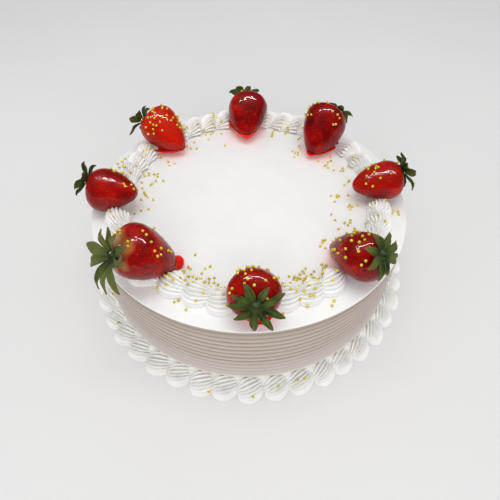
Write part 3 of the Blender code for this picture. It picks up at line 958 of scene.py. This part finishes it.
def makeLeafPattern():
    # A flat leaf on a grid: side across x from -1 to 1, far along y from 0 to 1
    clearSelection()
    bpy.ops.mesh.primitive_grid_add(x_subdivisions=6, y_subdivisions=len(leafRows) - 1, size=2.0)
    leaf = bpy.context.object
    leaf.name = "flatLeaf"
    openMesh(leaf)
    rows = len(leafRows) - 1
    for number, (far, wide) in enumerate(leafRows):
        grid = -1.0 + 2.0 * number / rows
        pickVerts(leaf, lambda co: abs(co.y - grid) < 0.4 / rows)
        resize((wide, 1.0, 1.0), (0, grid, 0))
    closeMesh()
    marks = {round(-1.0 + 2.0 * number / rows, 4): far for number, (far, wide) in enumerate(leafRows)}
    for vert in leaf.data.vertices:
        vert.co.y = marks[round(vert.co.y, 4)]
    return leaf


def leafPoint(far, side, leaf):
    reach = leafShape["hub"] + far * leaf["length"]
    spread = side * 0.5 * leafShape["width"] * leaf["broad"]
    bend = leafShape["curl"] * (reach * 1000.0) ** 2 / 1000.0
    climb = leafShape["standOff"] + leaf["lift"] * reach - bend
    wave = leafShape["wave"] * math.sin(far * 7.0 + leaf["phase"]) * far
    ruffle = 0.00022 * math.sin(far * 19.0 + leaf["phase"]) * side
    fold = 0.42 * abs(spread)
    sway = leaf["sway"] * far * far * leaf["length"]
    turn = leaf["turn"]
    x = reach * math.cos(turn) - (spread + sway) * math.sin(turn)
    y = reach * math.sin(turn) + (spread + sway) * math.cos(turn)
    return Vector((x, y, climb + wave + fold + ruffle))


def makeCalyx(name, place, style, pattern, laid, material):
    chance = random.Random(round(place["angle"] * 10) + 7)
    chanceMore = random.Random(round(place["angle"] * 10) + 8)
    seat = laid @ Matrix.Translation((0, 0, place["length"]))
    leaves = []
    for number in range(style["leaves"]):
        turn = math.tau * (number + chance.uniform(-0.10, 0.10)) / style["leaves"]
        leaf = dict(turn=turn, length=style["length"] * chance.uniform(0.82, 1.12),
                    lift=style["lift"] + chance.uniform(-0.12, 0.16), broad=chance.uniform(0.9, 1.1),
                    phase=chance.uniform(0.0, math.tau), sway=chance.uniform(-0.18, 0.18))
        end = seat @ leafPoint(1.0, 0.0, leaf)
        if end.z < cake["height"] + 0.0035 and math.hypot(end.x, end.y) < cake["radius"] + 0.004:
            leaf["length"] *= 0.55
            leaf["lift"] += 0.5
        copy = ownCopy(pattern)
        writeAttribute(copy, "far", [vert.co.y for vert in copy.data.vertices])
        writeAttribute(copy, "across", [abs(vert.co.x) for vert in copy.data.vertices])
        leaf["broad"] *= style["breadth"] * chanceMore.uniform(0.85, 1.15)
        droop = 1.0 + style["droop"] * math.cos(leaf["turn"])
        leaf["length"] *= chanceMore.uniform(0.84, 1.10) * droop
        leaf["sway"] += chanceMore.uniform(-0.22, 0.22)
        leaf["lift"] += chanceMore.uniform(-0.10, 0.14)
        tint = chanceMore.uniform(*style["tint"])
        writeAttribute(copy, "tint", [tint] * len(copy.data.vertices))
        for vert in copy.data.vertices:
            vert.co = leafPoint(vert.co.y, vert.co.x, leaf)
        thick = copy.modifiers.new("Thickness", "SOLIDIFY")
        thick.thickness = leafShape["thickness"]
        thick.offset = 1.0
        roundOff(copy, 1)
        applyModifiers(copy)
        leaves.append(copy)
    clearSelection()
    bpy.ops.mesh.primitive_circle_add(vertices=14, radius=0.0044, location=(0, 0, leafShape["standOff"]))
    stub = bpy.context.object
    settle(stub)
    openWhole(stub)
    pullRing((0, 0, 0.0010), (0.72, 0.72, 1.0), (0, 0, 0.0017))
    pullRing((0, 0, 0.0011), (0.52, 0.52, 1.0), (0, 0, 0.0028))
    pullRing((0.0003, 0, 0.0022), (0.95, 0.95, 1.0), (0.0003, 0, 0.0050))
    bpy.ops.mesh.edge_face_add()
    bpy.ops.mesh.inset(thickness=0.0003)
    bpy.ops.transform.translate(value=(0, 0, -0.0002))
    pickVerts(stub, lambda co: co.z < leafShape["standOff"] + 0.0001)
    bpy.ops.mesh.edge_face_add()
    pointOutwards()
    for kind, value in (("far", 0.2), ("across", 0.3), ("tint", 0.2)):
        writeAttribute(stub, kind, [value] * len(stub.data.vertices))
    calyx = joined("calyxLeaves_" + name, leaves + [stub])
    calyx.matrix_world = seat
    settle(calyx)
    openMesh(calyx)
    pointOutwards()
    smoothShade(calyx, 50.0)
    dress(calyx, material, ["calyx_" + name])


def makeCalyxes(laid, material):
    pattern = makeLeafPattern()
    for name in berryOrder:
        makeCalyx(name, berryPlaces[name], calyxStyles[name], pattern, laid[name], material)
    bpy.data.objects.remove(pattern, do_unlink=True)


# Glaze that has run down round the strawberries

# How high it climbs, how thick it is, how far it runs past the tip and how far up the berry
jellyPools = {
    "front": dict(rise=0.0062, swell=1.04, drop=0.0, reach=0.75),
    "front_right": dict(rise=0.0066, swell=1.05, drop=0.0016, reach=0.75),
    "right": dict(rise=0.0048, swell=1.045, drop=0.0, reach=0.75),
    "back_right": dict(rise=0.0052, swell=1.03, drop=0.0012, reach=0.75),
    "back": dict(rise=0.0085, swell=1.05, drop=0.0006, reach=0.75),
    "back_left": dict(rise=0.0062, swell=1.05, drop=0.0, reach=0.75),
    "left": dict(rise=0.0056, swell=1.06, drop=0.0, reach=1.0),
    "front_left": dict(rise=0.0062, swell=0.97, drop=0.0048, reach=0.3),
}


def makeJellyPool(name, place, laid, material):
    # A thick film over the lower flank: the berry's own rings, swollen, cut level and filled
    look = jellyPools[name]
    length, half = place["length"], 0.5 * place["width"]
    clearSelection()
    tipRadius = (berryRings[0][1] + 0.04) * half
    low = -0.0008 - look["drop"]
    bpy.ops.mesh.primitive_circle_add(vertices=24, radius=tipRadius, location=(0, 0, low))
    film = bpy.context.object
    film.name = "jelly_" + name
    settle(film)
    openWhole(film)
    here, wide = low, tipRadius
    if look["drop"] > 0.002:
        pullRing((0, 0, 0.5 * look["drop"]), (2.3, 2.3, 1.0), (0, 0, here + 0.5 * look["drop"]))
        here, wide = here + 0.5 * look["drop"], wide * 2.3
    pullRings([(share * length, size * half * look["swell"]) for share, size in berryRings[1:]], here, wide)
    bpy.ops.mesh.edge_face_add()
    pickVerts(film, lambda co: co.z < low + 0.0001)
    bpy.ops.mesh.edge_face_add()
    pointOutwards()
    roundOff(film, 2)
    unevenness(film, "runs_" + name, 0.008, 0.0011)
    applyModifiers(film)
    openWhole(film)
    bpy.ops.mesh.bisect(plane_co=(0, 0, look["reach"] * length), plane_no=(0, 0, 1), use_fill=True,
                        clear_outer=True)
    closeMesh()
    film.matrix_world = laid
    settle(film)
    openWhole(film)
    level = cake["height"] + look["rise"]
    axis = berryAxis(place)
    slope = Vector((0.10 * axis.x, 0.10 * axis.y, 1.0)).normalized()
    tip = laid.translation
    bpy.ops.mesh.bisect(plane_co=(tip.x, tip.y, level), plane_no=slope, use_fill=True, clear_outer=True)
    closeMesh()
    cutBelow(film, cake["height"] + 0.0002)
    smoothShade(film, 50.0)
    dress(film, material)


# Gold pearls, dropped from above

pearlLook = dict(radius=0.00097, clumps=170, perClump=(1, 6), spread=0.0066, inner=0.062, outer=0.1085)


def surfaceTree(pieces):
    verts, faces = [], []
    for piece in pieces:
        start = len(verts)
        verts += [vert.co.copy() for vert in piece.data.vertices]
        faces += [tuple(start + k for k in face.vertices) for face in piece.data.polygons]
    return BVHTree.FromPolygons(verts, faces)


def makePearls(pieces, foot, material):
    tree = surfaceTree(pieces)
    footTree = surfaceTree([foot])
    chance = random.Random(21)
    spots = []

    def drop(tree, x, y, sink):
        spot, normal, face, far = tree.ray_cast(Vector((x, y, 0.2)), Vector((0, 0, -1)))
        if spot is None or normal.z < 0.12 or spot.z < 0.003:
            return
        centre = spot + normal * pearlLook["radius"] * sink
        if all((centre - other).length > pearlLook["radius"] * 1.7 for other in spots):
            spots.append(centre)

    for clump in range(pearlLook["clumps"]):
        angle = chance.uniform(0.0, math.tau) if clump % 4 else math.radians(chance.uniform(230.0, 320.0))
        reach = min(pearlLook["outer"], max(pearlLook["inner"], chance.gauss(0.0880, 0.0105)))
        for grain in range(chance.randint(*pearlLook["perClump"])):
            x = reach * math.cos(angle) + chance.gauss(0.0, pearlLook["spread"] * 0.5)
            y = reach * math.sin(angle) + chance.gauss(0.0, pearlLook["spread"] * 0.5)
            if math.hypot(x, y) < cake["radius"] - 0.003:
                drop(tree, x, y, 0.6)
    for grain in range(22):
        angle = chance.uniform(0.0, math.tau)
        reach = chance.uniform(0.1125, 0.1235)
        drop(footTree, reach * math.cos(angle), reach * math.sin(angle), 0.5)
    clearSelection()
    bpy.ops.mesh.primitive_ico_sphere_add(subdivisions=2, radius=pearlLook["radius"])
    pearl = bpy.context.object
    openWhole(pearl)
    resize((1.0, 0.93, 0.9))
    pickVerts(pearl, lambda co: co.x > 0.7 * pearlLook["radius"])
    resize((0.9, 1.1, 1.1))
    closeMesh()
    matrices = []
    for spot in spots:
        turn = Euler((chance.uniform(0, 6.28), chance.uniform(0, 6.28), chance.uniform(0, 6.28)))
        grow = chance.uniform(0.86, 1.1)
        matrices.append(Matrix.Translation(spot) @ turn.to_matrix().to_4x4() @ Matrix.Scale(grow, 4))
    pearls = scatterCopies("goldPearls", pearl, matrices)
    smoothShade(pearls, 80.0)
    dress(pearls, material)
    print("pearls:", len(spots))


# Camera, floor and lights

cameraLook = dict(place=(0.0028, -0.2305, 0.2839), pitch=49.93, yaw=0.50, focal=430.0, frame=500.0)


def setCamera():
    data = bpy.data.cameras.new("photoView")
    camera = newObject("photoView", data)
    data.sensor_fit = "HORIZONTAL"
    data.sensor_width = 36.0
    data.lens = cameraLook["focal"] / cameraLook["frame"] * data.sensor_width
    data.clip_start = 0.01
    camera.location = cameraLook["place"]
    camera.rotation_euler = (math.radians(90.0 - cameraLook["pitch"]), 0.0, math.radians(cameraLook["yaw"]))
    bpy.context.scene.camera = camera


def addSoftLight(name, place, target, size, colour=(1.0, 1.0, 1.0)):
    data = bpy.data.lights.new(name, "AREA")
    data.shape = "RECTANGLE"
    data.size, data.size_y = size
    data.energy = lightLook[name]
    data.color = colour
    light = newObject(name, data)
    light.location = place
    light.rotation_euler = (Vector(target) - Vector(place)).to_track_quat("-Z", "Y").to_euler()
    return light


lightLook = dict(sky=0.62, overhead=3.9, frontFill=8.0, ceilingStrip=23.0)


def setStage():
    clearSelection()
    bpy.ops.mesh.primitive_plane_add(size=1.0, location=(0, 0, 0))
    floor = bpy.context.object
    floor.name = "paleFloor"
    openWhole(floor)
    resize((8.0, 8.0, 1.0))
    bpy.ops.mesh.subdivide(number_cuts=3)
    closeMesh()
    material, tree, shader, coords = newMaterial("paleFloor")
    patches = noiseValue(tree, coords, 3.0, 2.0)
    tone = addRamp(tree, patches, [(0.3, (0.80, 0.80, 0.80)), (0.7, (0.83, 0.83, 0.83))])
    setFinish(tree, shader, tone, roughness=0.8)
    floor.data.materials.append(material)
    world = bpy.data.worlds.new("softSky")
    bpy.context.scene.world = world
    world.use_nodes = True
    world.node_tree.nodes["Background"].inputs["Color"].default_value = (1.0, 1.0, 1.0, 1.0)
    world.node_tree.nodes["Background"].inputs["Strength"].default_value = lightLook["sky"]
    world.cycles_visibility.glossy = False
    overhead = addSoftLight("overhead", (0.0, 0.0, 1.3), (0, 0, 0.05), (0.9, 0.6), (1.0, 0.995, 0.98))
    fill = addSoftLight("frontFill", (0.0, -1.4, 0.8), (0, 0, 0.0), (1.6, 0.8))
    overhead.visible_glossy = False
    fill.visible_glossy = False
    # The long lamp that the glaze mirrors as a thin streak
    strip = addSoftLight("ceilingStrip", (-0.03, 0.16, 1.0), (-0.03, 0.0, 0.08), (1.5, 0.06))
    strip.visible_diffuse = False
    bpy.context.scene.view_settings.view_transform = "Standard"


print("camera, floor and lights")
setCamera()
setStage()
print("frosted body")
cream = makeCream()
body = makeBody(makeCakeCream())
print("piped shells")
runs = makeTopBorder(cream)
foot = makeFootBorder(cream)
print("strawberries")
berries, laid = makeBerries(makeBerrySkin(), makeSeedCoat())
print("leaves")
makeCalyxes(laid, makeLeaf())
print("glaze")
jelly = makeJelly()
for name in berryOrder:
    makeJellyPool(name, berryPlaces[name], laid[name], jelly)
print("pearls")
makePearls([body] + runs + list(berries.values()), foot, makePearl())

total = 0
for piece in bpy.data.objects:
    if piece.type == "MESH":
        piece.data.calc_loop_triangles()
        total += len(piece.data.loop_triangles)
print("triangles:", total)
